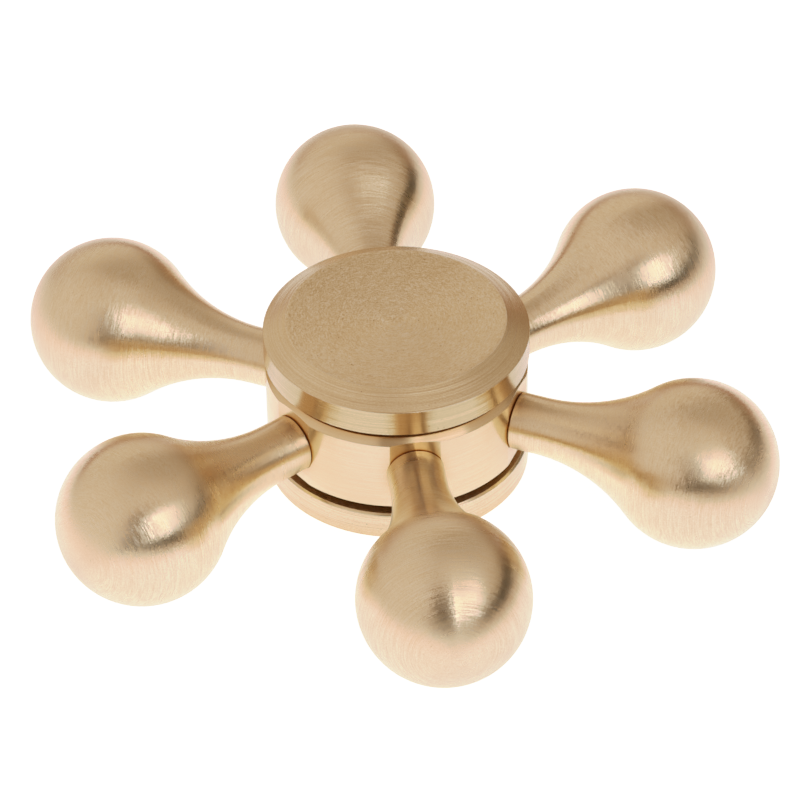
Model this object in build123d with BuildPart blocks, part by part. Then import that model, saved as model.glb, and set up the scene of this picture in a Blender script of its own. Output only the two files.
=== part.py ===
"""Six-arm brass fidget spinner on a 1/4 x 1/2 x 3/16 inch ball bearing. Millimetres, +Z up the spin axis.

The origin is the centre of the bearing. Two finger caps screw together through the bearing's bore and
clamp its inner race, so they stay still between finger and thumb. A hub ring is pressed on the outer
race and carries six drop-shaped arms, each screwed in by its own stud. Threads are drawn as rings.
"""

import os
from math import cos, radians, sin, sqrt

from build123d import *

# Arms: a ball that flows along one arc into a straight neck
ARM_COUNT = 6
FIRST_ARM_ANGLE = -90.0  # the first arm points along -Y
BALL_CIRCLE_R = 24.15
BALL_R = 6.5
NECK_R = 2.22
NECK_STRAIGHT_END = 11.85  # distance from the spin axis where the flare starts
NECK_EDGE_BREAK = 0.12
TIP_FLAT_R = 0.2  # faced spot at the ball's outer end

# Hub ring: turned, with a flat milled on its wall for each arm to seat on
RING_R = 10.1
RING_TOP_Z = 3.3
RING_BOTTOM_Z = -3.15
RING_CHAMFER = 0.5  # round the top rim
RING_EDGE_BREAK = 0.05  # round the bottom rim
RING_BORE_BREAK = 0.15
RING_LIP_R = 5.9  # the bearing sits against this lip
SEAT_R = 9.91  # distance of each flat from the spin axis

# Finger caps
CAP_R = 10.2
CAP_FACE_R = 8.45
CAP_TOP_Z = 7.15
CAP_BEVEL_Z = 6.15
CAP_INNER_Z = 3.9
CAP_INNER_CHAMFER = 0.16
CAP_LAND = 0.22  # flat rim left round the finger dish
CAP_DISH_DEPTH = 0.4
CAP_CENTRE_R = 0.3  # faced spot in the middle of the dish
CAP_BOSS_R = 4.0
CAP_BOSS_ROOT = 0.4  # fillet where the boss meets the cap
SPIGOT_R = 3.165
SPIGOT_END_Z = 0.1
SPIGOT_CHAMFER = 0.25

# Bearing: 6.35 bore, 12.7 outside, 4.762 wide, ten 1/16 inch balls
BEARING_BORE_R = 3.175
BEARING_OUT_R = 6.35
BEARING_HALF_W = 2.381
BEARING_CHAMFER = 0.2
BEARING_BALL_COUNT = 10
BEARING_BALL_R = 0.79375
PITCH_R = (BEARING_BORE_R + BEARING_OUT_R) / 2
BALL_PLAY = 0.01
GROOVE_R = 1.05 * BEARING_BALL_R
INNER_LAND_R = 4.25
OUTER_LAND_R = 5.3

# Bearing cage: a crown with one snap-in pocket for each ball
CAGE_IN_R = 4.42
CAGE_OUT_R = 5.12
CAGE_BASE_Z = -1.35
CAGE_TIP_Z = 0.35
POCKET_PLAY = 0.06

# Bearing shields and the spring clips that hold them
SHIELD_IN_R = 4.35
SHIELD_OUT_R = 5.72
SHIELD_Z = 1.75
SHIELD_T = 0.15
SHIELD_SEAT_R = 5.75
INNER_STEP_R = 4.15  # the inner race steps down here to clear the shields
INNER_STEP_Z = 1.65
CLIP_SEAT_R = 5.95
CLIP_SEAT_Z = 1.92
CLIP_SEAT_W = 0.26
CLIP_PLAY = 0.02
CLIP_IN_R = 5.6
CLIP_GAP_ANGLE = 24.0

# Threads: (crest radius, root radius, pitch, number of turns) of the male part
STUD_THREAD = (1.5, 1.19, 0.5, 6)
STUD_THREAD_START = SEAT_R - 0.35
STUD_TIP_CHAMFER = 0.14
STUD_HOLE_RELIEF_R = 1.65
AXLE_THREAD = (2.0, 1.57, 0.7, 6)
AXLE_THREAD_START = 0.4
AXLE_END_Z = 5.0
AXLE_TIP_CHAMFER = 0.25
AXLE_HOLE_RELIEF_R = 2.2
AXLE_HOLE_Z = 5.3
AXLE_DRILL_TIP = 0.6
AXLE_ROOT_DEPTH = 0.5  # how far the axle's root reaches into its spigot
HOLE_RELIEF = 0.1  # the relief at a tapped hole's mouth runs this far past the thread's start
THREAD_PLAY = 0.04


def lengthwise(angle):
    """A sketch plane whose X runs out from the spin axis at this angle and whose Y is up."""
    out = Vector(cos(radians(angle)), sin(radians(angle)), 0)
    return Plane(origin=(0, 0, 0), x_dir=out, z_dir=out.cross(Vector(0, 0, 1)))


def thread_points(thread, start, way, play=0.0):
    """(position, radius) points of a thread drawn as rings, from start along its axis, way being 1 or -1."""
    crest, root, pitch, turns = thread
    points = []
    for turn in range(turns):
        for share, radius in ((0, root), (0.35, crest), (0.5, crest), (0.85, root)):
            points.append((start + way * pitch * (turn + share), radius + play))
    return points


def save(builder, name):
    builder.part.label = name
    export_step(builder.part, f"parts/{name}.step")


os.makedirs("parts", exist_ok=True)

# ---------------------------------------------------------------- arms

flare_r = ((BALL_CIRCLE_R - NECK_STRAIGHT_END) ** 2 + NECK_R**2 - BALL_R**2) / (2 * (BALL_R - NECK_R))
flare_share = flare_r / (flare_r + BALL_R)  # the ball touches the flare's arc this far towards the ball
flare_end = Vector(
    NECK_STRAIGHT_END + flare_share * (BALL_CIRCLE_R - NECK_STRAIGHT_END),
    (1 - flare_share) * (NECK_R + flare_r),
)
tip = Vector(BALL_CIRCLE_R + sqrt(BALL_R**2 - TIP_FLAT_R**2), TIP_FLAT_R)
stud = thread_points(STUD_THREAD, STUD_THREAD_START, -1)
stud_end = stud[-1][0] - STUD_TIP_CHAMFER
stud_and_neck = [
    (stud_end, 0),
    (stud_end, stud[-1][1] - STUD_TIP_CHAMFER),
    *reversed(stud),
    (SEAT_R, stud[0][1]),
    (SEAT_R, NECK_R - NECK_EDGE_BREAK),
    (SEAT_R + NECK_EDGE_BREAK, NECK_R),
    (NECK_STRAIGHT_END, NECK_R),
]

for number in range(ARM_COUNT):
    arm_plane = lengthwise(FIRST_ARM_ANGLE + 360 / ARM_COUNT * number)
    with BuildPart() as arm:
        with BuildSketch(arm_plane):
            with BuildLine():
                Polyline(*stud_and_neck)
                TangentArc((NECK_STRAIGHT_END, NECK_R), flare_end, tangent=(1, 0))
                RadiusArc(flare_end, tip, BALL_R)
                Polyline(tip, (tip.X, 0), stud_and_neck[0])
            make_face()
        revolve(axis=Axis((0, 0, 0), arm_plane.x_dir))
    save(arm, f"arm_{number + 1}")

# ---------------------------------------------------------------- hub ring

stud_hole = [
    (RING_R, 0),
    (RING_R, STUD_HOLE_RELIEF_R),
    (STUD_THREAD_START + HOLE_RELIEF, STUD_HOLE_RELIEF_R),
    *thread_points(STUD_THREAD, STUD_THREAD_START, -1, THREAD_PLAY),
    (RING_LIP_R, STUD_THREAD[1] + THREAD_PLAY),
    (RING_LIP_R, 0),
]
widest_bore = (BEARING_OUT_R + RING_R) / 2  # every circle of the bore is smaller, every rim is larger

with BuildPart() as hub_ring:
    with BuildSketch(Plane.XY.offset(RING_BOTTOM_Z)):
        Circle(RING_R)
    extrude(amount=RING_TOP_Z - RING_BOTTOM_Z)
    chamfer(hub_ring.edges().filter_by(GeomType.CIRCLE).sort_by(Axis.Z)[-1], RING_CHAMFER)
    chamfer(hub_ring.edges().filter_by(GeomType.CIRCLE).sort_by(Axis.Z)[0], RING_EDGE_BREAK)
    with Locations(Plane.XY.offset(RING_TOP_Z)):
        CounterBoreHole(RING_LIP_R, BEARING_OUT_R, RING_TOP_Z + BEARING_HALF_W)
    bore_edges = hub_ring.edges().filter_by(GeomType.CIRCLE).filter_by(lambda edge: edge.radius < widest_bore)
    bore_mouths = bore_edges.sort_by(Axis.Z)
    chamfer([bore_mouths[0], bore_mouths[-1]], RING_BORE_BREAK)
    for number in range(ARM_COUNT):
        hole_plane = lengthwise(FIRST_ARM_ANGLE + 360 / ARM_COUNT * number)
        outward = hole_plane.x_dir
        with BuildSketch(Plane(origin=outward * SEAT_R, x_dir=outward.cross(Vector(0, 0, 1)), z_dir=outward)):
            Rectangle(RING_R, 2 * RING_R)
        extrude(amount=RING_R - SEAT_R, mode=Mode.SUBTRACT)
        with BuildSketch(hole_plane):
            with BuildLine():
                Polyline(*stud_hole, close=True)
            make_face()
        revolve(axis=Axis((0, 0, 0), outward), mode=Mode.SUBTRACT)
save(hub_ring, "hub_ring")

# ---------------------------------------------------------------- finger caps


def cap_half_section():
    """Draws a cap's half section for the +Z side: X is the radius and Y is the height."""
    dish_edge = (CAP_FACE_R - CAP_LAND, CAP_TOP_Z)
    dish_r = (dish_edge[0] ** 2 + CAP_DISH_DEPTH**2) / (2 * CAP_DISH_DEPTH)
    RadiusArc((CAP_CENTRE_R, CAP_TOP_Z - CAP_DISH_DEPTH), dish_edge, -dish_r)
    Polyline(
        dish_edge,
        (CAP_FACE_R, CAP_TOP_Z),
        (CAP_R, CAP_BEVEL_Z),
        (CAP_R, CAP_INNER_Z + CAP_INNER_CHAMFER),
        (CAP_R - CAP_INNER_CHAMFER, CAP_INNER_Z),
        (CAP_BOSS_R + CAP_BOSS_ROOT, CAP_INNER_Z),
    )
    TangentArc(
        (CAP_BOSS_R + CAP_BOSS_ROOT, CAP_INNER_Z),
        (CAP_BOSS_R, CAP_INNER_Z - CAP_BOSS_ROOT),
        tangent=(-1, 0),
    )
    Polyline(
        (CAP_BOSS_R, CAP_INNER_Z - CAP_BOSS_ROOT),
        (CAP_BOSS_R, BEARING_HALF_W),
        (SPIGOT_R, BEARING_HALF_W),
        (SPIGOT_R, SPIGOT_END_Z + SPIGOT_CHAMFER),
        (SPIGOT_R - SPIGOT_CHAMFER, SPIGOT_END_Z),
        (0, SPIGOT_END_Z),
        (0, CAP_TOP_Z - CAP_DISH_DEPTH),
        (CAP_CENTRE_R, CAP_TOP_Z - CAP_DISH_DEPTH),
    )


with BuildPart() as top_cap:
    with BuildSketch(Plane.XZ):
        with BuildLine():
            cap_half_section()
        make_face()
    revolve(axis=Axis.Z)
    with BuildSketch(Plane.XZ):
        with BuildLine():
            tapped = [(r, z) for z, r in thread_points(AXLE_THREAD, AXLE_THREAD_START, 1, THREAD_PLAY)]
            Polyline(
                (0, 0),
                (AXLE_HOLE_RELIEF_R, 0),
                (AXLE_HOLE_RELIEF_R, AXLE_THREAD_START - HOLE_RELIEF),
                *tapped,
                (tapped[-1][0], AXLE_HOLE_Z),
                (0, AXLE_HOLE_Z + AXLE_DRILL_TIP),
                close=True,
            )
        make_face()
    revolve(axis=Axis.Z, mode=Mode.SUBTRACT)
save(top_cap, "top_cap")

with BuildPart() as bottom_cap:
    with BuildSketch(Plane.XZ):
        with BuildLine():
            cap_half_section()
        make_face()
        mirror(about=Plane.XZ, mode=Mode.REPLACE)
    revolve(axis=Axis.Z)
    with BuildSketch(Plane.XZ):
        with BuildLine():
            axle = [(r, z) for z, r in thread_points(AXLE_THREAD, AXLE_THREAD_START, 1)]
            axle_r = axle[0][0]
            Polyline(
                (0, -SPIGOT_END_Z - AXLE_ROOT_DEPTH),
                (axle_r, -SPIGOT_END_Z - AXLE_ROOT_DEPTH),
                *axle,
                (axle_r, AXLE_END_Z - AXLE_TIP_CHAMFER),
                (axle_r - AXLE_TIP_CHAMFER, AXLE_END_Z),
                (0, AXLE_END_Z),
                close=True,
            )
        make_face()
    revolve(axis=Axis.Z)
save(bottom_cap, "bottom_cap")

# ---------------------------------------------------------------- bearing


def half_outline(radius_points):
    """The points with z above 0, then the same ones below it in reverse."""
    return [*radius_points, *[(r, -z) for r, z in reversed(radius_points)]]


with BuildPart() as outer_race:
    with BuildSketch(Plane.XZ):
        with BuildLine():
            outline = half_outline([
                (OUTER_LAND_R, SHIELD_Z),
                (SHIELD_SEAT_R, SHIELD_Z),
                (SHIELD_SEAT_R, CLIP_SEAT_Z),
                (CLIP_SEAT_R, CLIP_SEAT_Z),
                (CLIP_SEAT_R, CLIP_SEAT_Z + CLIP_SEAT_W),
                (SHIELD_SEAT_R, CLIP_SEAT_Z + CLIP_SEAT_W),
                (SHIELD_SEAT_R, BEARING_HALF_W),
                (BEARING_OUT_R - BEARING_CHAMFER, BEARING_HALF_W),
                (BEARING_OUT_R, BEARING_HALF_W - BEARING_CHAMFER),
            ])
            Polyline(*outline, close=True)
        make_face()
        with Locations((PITCH_R + BEARING_BALL_R + BALL_PLAY - GROOVE_R, 0)):
            Circle(GROOVE_R, mode=Mode.SUBTRACT)
    revolve(axis=Axis.Z)
save(outer_race, "bearing_outer_race")

with BuildPart() as inner_race:
    with BuildSketch(Plane.XZ):
        with BuildLine():
            outline = half_outline([
                (INNER_LAND_R, INNER_STEP_Z),
                (INNER_STEP_R, INNER_STEP_Z),
                (INNER_STEP_R, BEARING_HALF_W),
                (BEARING_BORE_R + BEARING_CHAMFER, BEARING_HALF_W),
                (BEARING_BORE_R, BEARING_HALF_W - BEARING_CHAMFER),
            ])
            Polyline(*outline, close=True)
        make_face()
        with Locations((PITCH_R - BEARING_BALL_R - BALL_PLAY + GROOVE_R, 0)):
            Circle(GROOVE_R, mode=Mode.SUBTRACT)
    revolve(axis=Axis.Z)
save(inner_race, "bearing_inner_race")

with BuildPart() as cage:
    with BuildSketch(Plane.XY.offset(CAGE_BASE_Z)):
        Circle(CAGE_OUT_R)
        Circle(CAGE_IN_R, mode=Mode.SUBTRACT)
    extrude(amount=CAGE_TIP_Z - CAGE_BASE_Z)
    with PolarLocations(PITCH_R, BEARING_BALL_COUNT):
        Sphere(BEARING_BALL_R + POCKET_PLAY, mode=Mode.SUBTRACT)
save(cage, "bearing_cage")

for number, place in enumerate(PolarLocations(PITCH_R, BEARING_BALL_COUNT), 1):
    with BuildPart(place) as ball:
        Sphere(BEARING_BALL_R)
    save(ball, f"bearing_ball_{number:02d}")

for side, name in ((1, "top"), (-1, "bottom")):
    with BuildPart() as shield:
        with BuildSketch(Plane.XY.offset(side * SHIELD_Z)):
            Circle(SHIELD_OUT_R)
            Circle(SHIELD_IN_R, mode=Mode.SUBTRACT)
        extrude(amount=side * SHIELD_T)
    save(shield, f"bearing_shield_{name}")

    with BuildPart() as clip:
        with BuildSketch(Plane.XY.offset(side * (CLIP_SEAT_Z + CLIP_PLAY))):
            Circle(CLIP_SEAT_R - CLIP_PLAY)
            Circle(CLIP_IN_R, mode=Mode.SUBTRACT)
            with BuildLine():
                far = 2 * CLIP_SEAT_R
                half_gap = radians(CLIP_GAP_ANGLE / 2)
                opening = (far * cos(half_gap), far * sin(half_gap))
                Polyline((0, 0), opening, (opening[0], -opening[1]), close=True)
            make_face(mode=Mode.SUBTRACT)
        extrude(amount=side * (CLIP_SEAT_W - 2 * CLIP_PLAY))
    save(clip, f"shield_clip_{name}")
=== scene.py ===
from math import cos, pi, radians, sin, tan

import bpy
from mathutils import Matrix, Vector


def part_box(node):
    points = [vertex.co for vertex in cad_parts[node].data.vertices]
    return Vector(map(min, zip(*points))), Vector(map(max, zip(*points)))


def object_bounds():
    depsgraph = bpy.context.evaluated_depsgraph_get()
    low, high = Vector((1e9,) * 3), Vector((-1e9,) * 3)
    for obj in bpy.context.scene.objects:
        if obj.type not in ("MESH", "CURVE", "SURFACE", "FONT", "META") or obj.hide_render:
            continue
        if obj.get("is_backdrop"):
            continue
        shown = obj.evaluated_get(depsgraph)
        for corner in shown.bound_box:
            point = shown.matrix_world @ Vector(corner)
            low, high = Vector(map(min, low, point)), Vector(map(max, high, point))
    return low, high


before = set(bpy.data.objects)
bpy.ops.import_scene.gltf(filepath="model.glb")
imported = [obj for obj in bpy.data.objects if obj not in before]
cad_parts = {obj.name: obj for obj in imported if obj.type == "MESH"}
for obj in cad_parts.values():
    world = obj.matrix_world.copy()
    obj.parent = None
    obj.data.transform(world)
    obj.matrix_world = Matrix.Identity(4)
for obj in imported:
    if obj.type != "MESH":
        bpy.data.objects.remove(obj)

cad_low, cad_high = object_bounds()
scene = bpy.context.scene

MM = 0.001

# ---------------------------------------------------------------- camera

CAMERA_LENS = 186.76
CAMERA_DISTANCE = 0.31965
CAMERA_AZIMUTH = -7.755  # degrees round from looking along +Y
CAMERA_ELEVATION = 39.70
CAMERA_ROLL = 0.697
CAMERA_AIM = Vector((0.06, -1.234, 0)) * MM


def direction(azimuth, elevation):
    """Unit vector out from the object; azimuth 0 is towards the camera and 90 is to its right, in degrees."""
    a, e = radians(CAMERA_AZIMUTH + azimuth), radians(elevation)
    return Vector((sin(a) * cos(e), -cos(a) * cos(e), sin(e)))


def aimed(position, target, roll=0.0):
    """Matrix of a camera or light at position that looks at target."""
    turn = (target - position).to_track_quat("-Z", "Y").to_matrix().to_4x4()
    return Matrix.Translation(position) @ turn @ Matrix.Rotation(radians(roll), 4, "Z")


camera_data = bpy.data.cameras.new("camera")
camera_data.lens = CAMERA_LENS
camera_data.sensor_width = 36
camera_data.clip_start = 0.01
camera_data.clip_end = 50
camera = bpy.data.objects.new("camera", camera_data)
scene.collection.objects.link(camera)
camera_place = CAMERA_AIM + CAMERA_DISTANCE * direction(0, CAMERA_ELEVATION)
camera.matrix_world = aimed(camera_place, CAMERA_AIM, -CAMERA_ROLL)
scene.camera = camera

# A soft shoulder, as a camera's: (light, print)
WHITE = 1.65
TONES = ((0.445, 0.445), (0.786, 0.651), (1.05, 0.847))

scene.view_settings.view_transform = "Standard"
scene.view_settings.use_curve_mapping = True
mapping = scene.view_settings.curve_mapping
mapping.white_level = (WHITE, WHITE, WHITE)
for light, tone in TONES:
    mapping.curves[3].points.new(light / WHITE, tone)
mapping.update()

# ---------------------------------------------------------------- node helpers


def rgb(red, green, blue):
    return (red, green, blue, 1.0)


class Graph:
    """A short way to write node trees: nearly every method returns an output socket."""

    def __init__(self, tree):
        self.tree = tree
        tree.nodes.clear()

    def node(self, kind, inputs=None, **settings):
        made = self.tree.nodes.new(kind)
        for name, value in settings.items():
            setattr(made, name, value)
        for name, value in (inputs or {}).items():
            socket = made.inputs[name]
            if isinstance(value, bpy.types.NodeSocket):
                self.tree.links.new(value, socket)
            else:
                socket.default_value = value
        return made

    def math(self, operation, *values, clamp=False):
        made = self.node("ShaderNodeMath", dict(enumerate(values)), operation=operation, use_clamp=clamp)
        return made.outputs[0]

    def add(self, *values):
        total = values[0]
        for value in values[1:]:
            total = self.math("ADD", total, value)
        return total

    def times(self, *values):
        product = values[0]
        for value in values[1:]:
            product = self.math("MULTIPLY", product, value)
        return product

    def vector(self, operation, *values):
        made = self.node("ShaderNodeVectorMath", dict(enumerate(values)), operation=operation)
        return made.outputs["Value" if operation in ("DOT_PRODUCT", "LENGTH") else "Vector"]

    def scaled(self, vector, factor):
        made = self.node("ShaderNodeVectorMath", {0: vector, "Scale": factor}, operation="SCALE")
        return made.outputs["Vector"]

    def xyz(self, x, y, z):
        return self.node("ShaderNodeCombineXYZ", {0: x, 1: y, 2: z}).outputs[0]

    def map(self, value, low, high, to_low=0.0, to_high=1.0, smooth=False):
        kind = "SMOOTHSTEP" if smooth else "LINEAR"
        inputs = {"Value": value, "From Min": low, "From Max": high, "To Min": to_low, "To Max": to_high}
        return self.node("ShaderNodeMapRange", inputs, interpolation_type=kind).outputs["Result"]

    def between(self, value, low, high, soft):
        """1 where value is between low and high, falling to 0 over soft beyond each."""
        rise = self.map(value, low - soft, low, smooth=True)
        return self.times(rise, self.map(value, high, high + soft, 1, 0, smooth=True))

    def mix(self, factor, a, b):
        made = self.node("ShaderNodeMix", data_type="RGBA")
        for socket, value in ((made.inputs[0], factor), (made.inputs[6], a), (made.inputs[7], b)):
            if isinstance(value, bpy.types.NodeSocket):
                self.tree.links.new(value, socket)
            else:
                socket.default_value = value
        return made.outputs[2]

    def noise(self, vector, scale, w=None, detail=2.0, roughness=0.5):
        """Noise centred on 0, mostly within 1 either side."""
        inputs = {"Vector": vector, "Scale": scale, "Detail": detail, "Roughness": roughness}
        if w is not None:
            inputs["W"] = w
        made = self.node("ShaderNodeTexNoise", inputs, noise_dimensions="3D" if w is None else "4D")
        return self.map(made.outputs["Fac"], 0.25, 0.75, -1, 1)


# ---------------------------------------------------------------- studio

SKY_DIM = rgb(0.625, 0.51, 0.44)
SKY_BRIGHT = rgb(0.94, 0.78, 0.72)
SKY_DEEP = rgb(0.505, 0.405, 0.34)
FAR_GLOW = rgb(0.86, 0.71, 0.62)
ROOM_DARK = rgb(0.03, 0.032, 0.025)
ROOM_BROWN = rgb(0.30, 0.20, 0.13)
ROOM_RED = rgb(0.36, 0.17, 0.11)
BODY_DARK = rgb(0.10, 0.075, 0.06)
BACKDROP = rgb(1.75, 1.75, 1.75)
KEY_TINT = (0.95, 1.0, 1.14)


def studio_world():
    """A pale room, brighter to the left and low down behind the object, with a dark low band in front and to
    the right, and a dark upright shape beside the camera. The eye sees only a plain white backdrop."""
    world = bpy.data.worlds.new("studio")
    world.use_nodes = True
    g = Graph(world.node_tree)
    way = g.node("ShaderNodeTexCoord").outputs["Generated"]
    front = g.vector("DOT_PRODUCT", way, direction(0, 0))
    right = g.vector("DOT_PRODUCT", way, direction(90, 0))
    azimuth = g.math("DEGREES", g.math("ARCTAN2", right, front))
    height = g.vector("DOT_PRODUCT", way, (0, 0, 1))
    elevation = g.math("DEGREES", g.math("ARCSINE", height))

    def glow(azimuth, elevation, edge, most):
        """A broad bright place in the sky: edge is the cosine of the angle at which it ends."""
        nearness = g.vector("DOT_PRODUCT", way, direction(azimuth, elevation))
        return g.map(nearness, edge, 1.0, 0, most, smooth=True)

    sky = g.mix(g.math("MAXIMUM", glow(-70, 17, 0.1, 1.0), glow(35, 58, 0.72, 0.7)), SKY_DIM, SKY_BRIGHT)
    sky = g.mix(glow(155, 55, 0.78, 1.2), sky, SKY_DEEP)
    sky = g.mix(glow(-165, 20, 0.78, 1.25), sky, FAR_GLOW)

    def patch(below, colour, azimuths, azimuth_soft, elevations, elevation_soft, turn=azimuth):
        """One colour over what is below it, between these angles in degrees, with soft edges outside them."""
        across = g.between(turn, *azimuths, azimuth_soft)
        up = g.between(elevation, *elevations, elevation_soft)
        return g.mix(g.times(across, up), below, colour)

    behind = g.math("ABSOLUTE", azimuth)
    sky = patch(sky, ROOM_BROWN, (108, 150), 14, (-10, 17), 14)
    sky = patch(sky, BODY_DARK, (-15, 9), 5, (-10, 42), 18)
    sky = patch(sky, ROOM_DARK, (-14, 60), 16, (-10, 11), 4)
    sky = patch(sky, ROOM_DARK, (60, 120), 14, (-10, 14.5), 4)
    sky = patch(sky, ROOM_RED, (140, 190), 14, (-10, 6), 6, turn=behind)

    seen = g.node("ShaderNodeLightPath").outputs["Is Camera Ray"]
    background = g.node("ShaderNodeBackground", {"Color": g.mix(seen, sky, BACKDROP), "Strength": 1.0})
    g.node("ShaderNodeOutputWorld", {"Surface": background.outputs[0]})
    scene.world = world


def softbox(name, azimuths, elevations, radiance):
    """A rectangular light that faces the object from 1 m away and spans these angles; radiance is what a
    mirror would show."""
    data = bpy.data.lights.new(name, "AREA")
    data.shape = "RECTANGLE"
    data.size = 2 * tan(radians(azimuths[1] - azimuths[0]) / 2)
    data.size_y = 2 * tan(radians(elevations[1] - elevations[0]) / 2)
    data.color = KEY_TINT
    data.energy = radiance * pi * data.size * data.size_y
    light = bpy.data.objects.new(name, data)
    scene.collection.objects.link(light)
    light.matrix_world = aimed(direction(sum(azimuths) / 2, sum(elevations) / 2), Vector((0, 0, 0)))


FLOOR_SIZE = 6.0
FLOOR_GREY = rgb(0.8, 0.8, 0.8)
FLOOR_GLOW = rgb(0.92, 1.03, 1.14)
FLOOR_TO_THE_EYE = rgb(1.4, 1.4, 1.4)
FLOOR_GLOW_OUT = rgb(0.80, 0.95, 1.12)
FLOOR_GLOW_FAR = rgb(0.86, 0.83, 0.86)
# painted shade: the floor's glow and colour turn dark far away, and the metal reflects that darkness
FLOOR_PAINTED_DARK_FAR = rgb(0.24, 0.17, 0.13)
UNDER_HUB, BETWEEN_BALLS = 18 * MM, 30 * MM
HUB_EDGE = 11 * MM
HUB_SHADE, OUTER_SHADE = 1.15, 0.97
TABLE_NEAR, TABLE_FAR = 26 * MM, 110 * MM
PAINTED_DARK_AZIMUTH = 60
END_BEHIND, END_AHEAD = 0.35, 0.85  # how much of the floor's painted dark far away shows on its far side and on its near side


def white_floor():
    """A plain white floor that glows a little, so that it has no hard shadow. In the metal it is a little
    brighter round the hub and dimmer far away, most of all to the right; the eye sees it white all over."""
    low = cad_low.z
    corners = [(x * FLOOR_SIZE, y * FLOOR_SIZE, low) for x, y in ((-1, -1), (1, -1), (1, 1), (-1, 1))]
    mesh = bpy.data.meshes.new("floor")
    mesh.from_pydata(corners, [], [(0, 1, 2, 3)])
    floor = bpy.data.objects.new("floor", mesh)
    scene.collection.objects.link(floor)
    material = bpy.data.materials.new("floor_white")
    material.use_nodes = True
    g = Graph(material.node_tree)
    seen = g.node("ShaderNodeLightPath").outputs["Is Camera Ray"]
    place = g.node("ShaderNodeTexCoord").outputs["Object"]
    away = g.vector("LENGTH", place)
    ahead = g.vector("DOT_PRODUCT", g.vector("NORMALIZE", place), direction(PAINTED_DARK_AZIMUTH, 0))
    end_side = g.map(ahead, 0.3, 0.95, END_BEHIND, END_AHEAD, smooth=True)
    far = g.times(g.map(away, TABLE_NEAR, TABLE_FAR, smooth=True), end_side)
    shade = g.map(away, HUB_EDGE, UNDER_HUB, HUB_SHADE, OUTER_SHADE, smooth=True)
    glow = g.mix(g.map(away, UNDER_HUB, BETWEEN_BALLS, smooth=True), FLOOR_GLOW, FLOOR_GLOW_OUT)
    glow = g.mix(g.map(away, BETWEEN_BALLS, TABLE_FAR / 2, smooth=True), glow, FLOOR_GLOW_FAR)
    glow = g.scaled(g.mix(far, glow, FLOOR_PAINTED_DARK_FAR), shade)
    diffuse = g.node("ShaderNodeBsdfDiffuse", {"Color": g.mix(far, FLOOR_GREY, FLOOR_PAINTED_DARK_FAR)})
    glow = g.node("ShaderNodeEmission", {"Color": g.mix(seen, glow, FLOOR_TO_THE_EYE)})
    both = g.node("ShaderNodeAddShader", {0: diffuse.outputs[0], 1: glow.outputs[0]})
    g.node("ShaderNodeOutputMaterial", {"Surface": both.outputs[0]})
    mesh.materials.append(material)
    floor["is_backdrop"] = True


studio_world()
softbox("key_softbox", (14, 57), (13.5, 46), 1.30)
softbox("key_left_edge", (14, 21), (13, 49), 0.9)
white_floor()

# ---------------------------------------------------------------- metals

RING_TONES = rgb(0.78, 0.575, 0.32), rgb(0.69, 0.47, 0.22), rgb(0.85, 0.70, 0.48)
CAP_TONES = rgb(0.74, 0.555, 0.305), rgb(0.59, 0.40, 0.20), rgb(0.86, 0.72, 0.53)
ARM_TONES = rgb(0.80, 0.61, 0.365), rgb(0.69, 0.48, 0.25), rgb(0.85, 0.71, 0.50)
STEEL_TONES = rgb(0.62, 0.62, 0.63), rgb(0.50, 0.50, 0.52), rgb(0.66, 0.66, 0.66)
# dark brown for dirt in pits and scratches, and for painted shade in seams
GRIME_AND_SEAM_SHADE = rgb(0.26, 0.13, 0.05)
# painted shade: a deep brass colour laid in hollows where bounced light is dim
RECESS_PAINTED_SHADE = rgb(0.60, 0.31, 0.08)

SPECK_SIZE = 0.10 * MM
CLOUD_SIZE = 5 * MM
EDGE_ROUND = 0.09 * MM
PIT_SPACING = 0.5 * MM
PIT_PATCHES = 3 * MM
SCRATCH_SPACING = 4 * MM
SCRATCH_LENGTH = 1.0 * MM
WEAR_PATCHES = 0.6 * MM
SEAM_REACH = 0.14 * MM
RECESS_REACH = 2.5 * MM
BROAD_SPACING, BROAD_LENGTH, BROAD_TILT = 5, 3, 1 / 30  # broad lines, as multiples of the fine ones
ROUND_SHARE = 0.6  # of the specks' tilt that goes round the turn
END_LINE_SHARE = 0.25  # of the lines' tilt that is left where the surface faces along the axis


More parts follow.
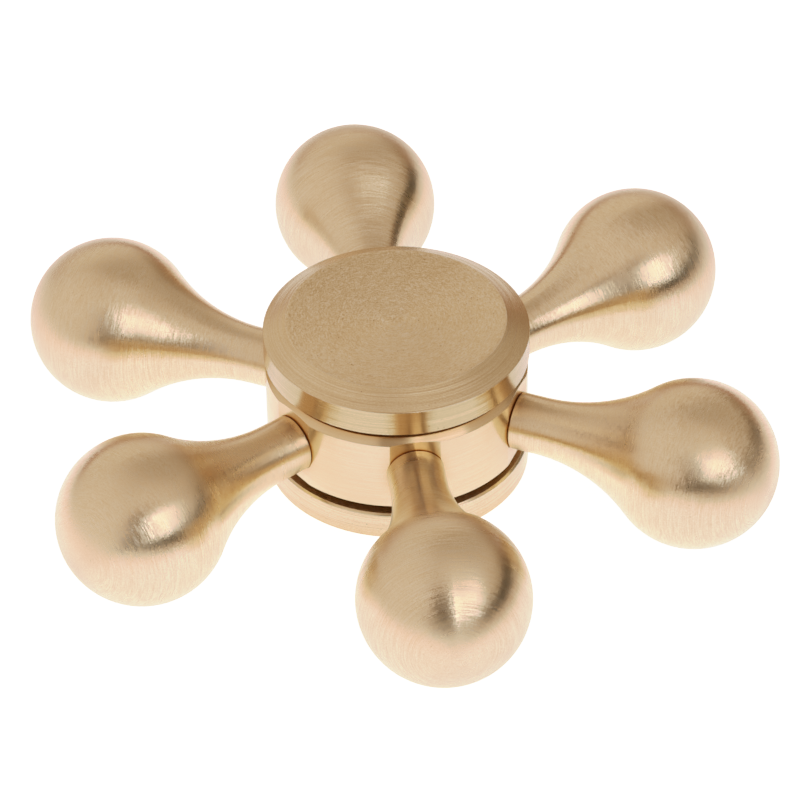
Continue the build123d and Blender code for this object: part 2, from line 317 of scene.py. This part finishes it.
def turned_metal(
    name,
    axis,
    tones,
    roughness,
    stretch,
    marks,
    tilt,
    grain=0.0,
    end_grain=0.0,
    end_roughness=None,
    shade=0.5,
    wear=0.0,
    pits=0.0,
    scratches=0.0,
    end_marks=None,
    recess=0.0,
    bevel_recess=1.0,
    wall_painted_shade=0.0,
):
    """Metal turned or brushed round an axis through the origin.

    tones are its usual, deep and worn colours. stretch is how far reflections stretch across the lines. marks
    are the spacing of the tool's lines and the length of a line along the turn, in mm. tilt is how steeply a
    line leans the surface and grain how steeply fine specks do. Where the surface faces along the axis,
    end_grain adds to grain, end_roughness takes over from roughness and end_marks from marks. shade is how
    much darker the lines and specks are, and wall_painted_shade paints shade on walls parallel to the axis
    as a deeper colour. wear brightens edges, pits is how dark the pits are and scratches how dark the
    scratches. Painted shade in a deep brass colour starts where a place is open to less than recess of its
    surroundings; bevels get bevel_recess of it. Dark brown, partly grime and partly painted shade, gathers
    in the seams.
    """
    usual, deep, worn = tones
    spacing, length = marks
    material = bpy.data.materials.new(name)
    material.use_nodes = True
    g = Graph(material.node_tree)
    axis = Vector(axis).normalized()
    side = axis.orthogonal().normalized()
    place = g.node("ShaderNodeTexCoord").outputs["Object"]
    along = g.vector("DOT_PRODUCT", place, axis)
    across = g.vector("SUBTRACT", place, g.scaled(axis, along))
    radius = g.vector("LENGTH", across)
    outward = g.vector("NORMALIZE", across)
    off_centre = g.map(radius, 0.2 * MM, 1.2 * MM)

    def lines(spacing, length, detail):
        """Noise that is fine across the lines and long round the axis."""
        turn = g.times(radius, 1 / (length * MM))
        first = g.times(g.vector("DOT_PRODUCT", outward, side), turn)
        second = g.times(g.vector("DOT_PRODUCT", outward, axis.cross(side)), turn)
        fine = 1 / (spacing * MM)
        grid = g.xyz(g.times(along, fine), g.times(radius, fine), first)
        return g.noise(grid, 1.0, w=second, detail=detail)

    normal = g.node("ShaderNodeNewGeometry").outputs["Normal"]
    to_world = {"vector_type": "VECTOR", "convert_from": "OBJECT", "convert_to": "WORLD"}
    axis_way = g.node("ShaderNodeVectorTransform", {0: axis}, **to_world).outputs[0]
    facing = g.math("ABSOLUTE", g.vector("DOT_PRODUCT", normal, axis_way))
    end = g.map(facing, 0.90, 0.97, smooth=True)
    fine_lines = lines(spacing, length, 1.5)
    broad_lines = lines(spacing * BROAD_SPACING, length * BROAD_LENGTH, 1.0)
    if end_marks:
        end_lines = lines(*end_marks, 1.5)
        fine_lines = g.add(g.times(fine_lines, g.map(end, 0, 1, 1, 0)), g.times(end_lines, end))
    specks = g.noise(place, 1 / SPECK_SIZE, detail=1.0)
    cross_specks = g.noise(g.vector("ADD", place, (0.1, 0, 0)), 1 / SPECK_SIZE, detail=1.0)
    cloud = g.noise(place, 1 / CLOUD_SIZE, detail=3.0)

    rounded = g.node("ShaderNodeBevel", {"Radius": EDGE_ROUND}, samples=4).outputs[0] if wear else normal
    round_way = g.node("ShaderNodeVectorTransform", {0: g.vector("CROSS_PRODUCT", axis, outward)}, **to_world)
    over = g.vector("NORMALIZE", g.vector("CROSS_PRODUCT", round_way.outputs[0], normal))
    speck_tilt = g.map(end, 0, 1, grain, grain + end_grain)
    line_share = g.times(off_centre, g.map(end, 0, 1, 1, END_LINE_SHARE))
    both_lines = g.add(g.times(fine_lines, tilt), g.times(broad_lines, tilt * BROAD_TILT))
    line_tilt = g.times(both_lines, line_share)
    lean_over = g.scaled(over, g.add(line_tilt, g.times(specks, speck_tilt)))
    lean_round = g.scaled(round_way.outputs[0], g.times(cross_specks, speck_tilt, ROUND_SHARE))
    leaned = g.vector("NORMALIZE", g.vector("ADD", g.vector("ADD", rounded, lean_over), lean_round))
    # the turn has no direction at its very centre
    swirl = g.times(specks, g.map(off_centre, 0, 1, 2.5, 0))
    tangent = g.vector("NORMALIZE", g.vector("ADD", over, g.scaled(round_way.outputs[0], swirl)))

    line_dark, speck_dark = -0.4 * shade, -0.3 * shade
    end_line_dark, end_speck_dark = (-0.6 * shade, -0.6 * shade) if end_marks else (0.0, speck_dark)
    line_shade = g.times(fine_lines, g.map(end, 0, 1, line_dark, end_line_dark))
    speck_shade = g.times(specks, g.map(end, 0, 1, speck_dark, end_speck_dark))
    # painted shade: walls parallel to the axis get a deeper colour
    wall = g.map(facing, 0.3, 0.6, wall_painted_shade, 0)
    depth = g.add(line_shade, speck_shade, g.times(cloud, 0.15), wall)
    colour = g.mix(g.math("ADD", depth, 0.12, clamp=True), usual, deep)
    colour = g.mix(g.math("MULTIPLY", depth, -1.0, clamp=True), colour, worn)
    rough = g.map(g.add(cloud, broad_lines), -1.5, 1.5, 0.9, 1.1)
    rough = g.times(rough, g.map(end, 0, 1, roughness, end_roughness or roughness))
    if pits:
        spots = g.node("ShaderNodeTexVoronoi", {"Vector": place, "Scale": 1 / PIT_SPACING})
        pit = g.map(spots.outputs["Distance"], 0.05, 0.16, 1, 0, smooth=True)
        some = g.map(g.noise(place, 1 / PIT_PATCHES), -0.1, 0.5)
        colour = g.mix(g.times(pit, some, pits), colour, GRIME_AND_SEAM_SHADE)
    if scratches:
        thread = g.math("ABSOLUTE", g.noise(place, 1 / SCRATCH_SPACING, detail=0.0))
        few = g.map(g.noise(g.vector("ADD", place, (0.2, 0, 0)), 1 / SCRATCH_LENGTH, detail=0.0), 0.45, 0.8)
        colour = g.mix(g.times(g.map(thread, 0.004, 0.03, 1, 0), few, scratches), colour, GRIME_AND_SEAM_SHADE)
    if wear:
        edge = g.map(g.vector("DOT_PRODUCT", rounded, normal), 0.998, 0.96)
        patchy = g.map(g.noise(place, 1 / WEAR_PATCHES), -0.6, 0.6, 0.2, 1)
        colour = g.mix(g.times(edge, patchy, wear), colour, worn)
    seam = g.node("ShaderNodeAmbientOcclusion", {"Distance": SEAM_REACH}, samples=6).outputs["AO"]
    # painted shade in hollows: places open to little of their surroundings take the deep brass colour
    if recess:
        depth_in = g.node("ShaderNodeAmbientOcclusion", {"Distance": RECESS_REACH}, samples=6).outputs["AO"]
        hidden = g.times(g.map(depth_in, recess, 0.40, 0, 0.9), g.map(facing, 0.3, 0.6, 1, bevel_recess))
        colour = g.mix(hidden, colour, RECESS_PAINTED_SHADE)
    # painted shade: seams are darkened where the surface is closed in
    colour = g.mix(g.map(seam, 0.75, 0.35, 0, 0.8), colour, GRIME_AND_SEAM_SHADE)
    shader = g.node(
        "ShaderNodeBsdfPrincipled",
        {
            "Base Color": colour,
            "Metallic": 1.0,
            "Roughness": rough,
            "Anisotropic": stretch,
            "Normal": leaned,
            "Tangent": tangent,
        },
    )
    g.node("ShaderNodeOutputMaterial", {"Surface": shader.outputs[0]})
    return material


def coat(node, material):
    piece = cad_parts[node]
    piece.data.materials.clear()
    piece.data.materials.append(material)


Z_AXIS = (0, 0, 1)

# the top cap's walls get far more painted shade than the bottom cap's, and its bevels more painted shade in
# hollows
for node, wall_painted_shade, bevel_recess in (("top_cap", 0.8, 1.0), ("bottom_cap", 0.1, 0.25)):
    cap_brass = turned_metal(
        f"{node}_turned",
        Z_AXIS,
        CAP_TONES,
        roughness=0.25,
        stretch=0.8,
        marks=(0.07, 8.0),
        tilt=0.14,
        end_grain=0.13,
        end_roughness=0.30,
        shade=0.9,
        wear=0.9,
        pits=1.0,
        scratches=0.15,
        end_marks=(0.12, 0.35),
        recess=0.95,
        bevel_recess=bevel_recess,
        wall_painted_shade=wall_painted_shade,
    )
    coat(node, cap_brass)

ring_brass = turned_metal(
    "ring_brass_turned",
    Z_AXIS,
    RING_TONES,
    roughness=0.22,
    stretch=0.8,
    marks=(0.12, 5.0),
    tilt=0.025,
    end_grain=0.05,
    end_roughness=0.40,
    shade=0.3,
    wear=0.8,
    recess=0.8,
)
coat("hub_ring", ring_brass)

for node in sorted(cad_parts):
    if node.startswith("arm_"):
        low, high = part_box(node)
        out = (low.x + high.x, low.y + high.y, 0)
        brushed = turned_metal(
            f"{node}_brushed",
            out,
            ARM_TONES,
            roughness=0.285,
            stretch=0.8,
            marks=(0.075, 1.8),
            tilt=0.105,
            grain=0.06,
            shade=1.3,
            pits=0.25,
        )
        coat(node, brushed)

race_steel = turned_metal(
    "race_steel_ground",
    Z_AXIS,
    STEEL_TONES,
    roughness=0.18,
    stretch=0.5,
    marks=(0.05, 4.0),
    tilt=0.01,
)
ball_steel = turned_metal(
    "ball_steel_polished",
    Z_AXIS,
    STEEL_TONES,
    roughness=0.08,
    stretch=0.0,
    marks=(0.2, 1.0),
    tilt=0.002,
    shade=0.1,
)
sheet_steel = turned_metal(
    "sheet_steel_rolled",
    Z_AXIS,
    STEEL_TONES,
    roughness=0.30,
    stretch=0.4,
    marks=(0.08, 2.0),
    tilt=0.02,
    grain=0.02,
)
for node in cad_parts:
    if "race" in node:
        coat(node, race_steel)
    elif "ball" in node:
        coat(node, ball_steel)
    elif "cage" in node or "shield" in node:
        coat(node, sheet_steel)

low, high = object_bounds()
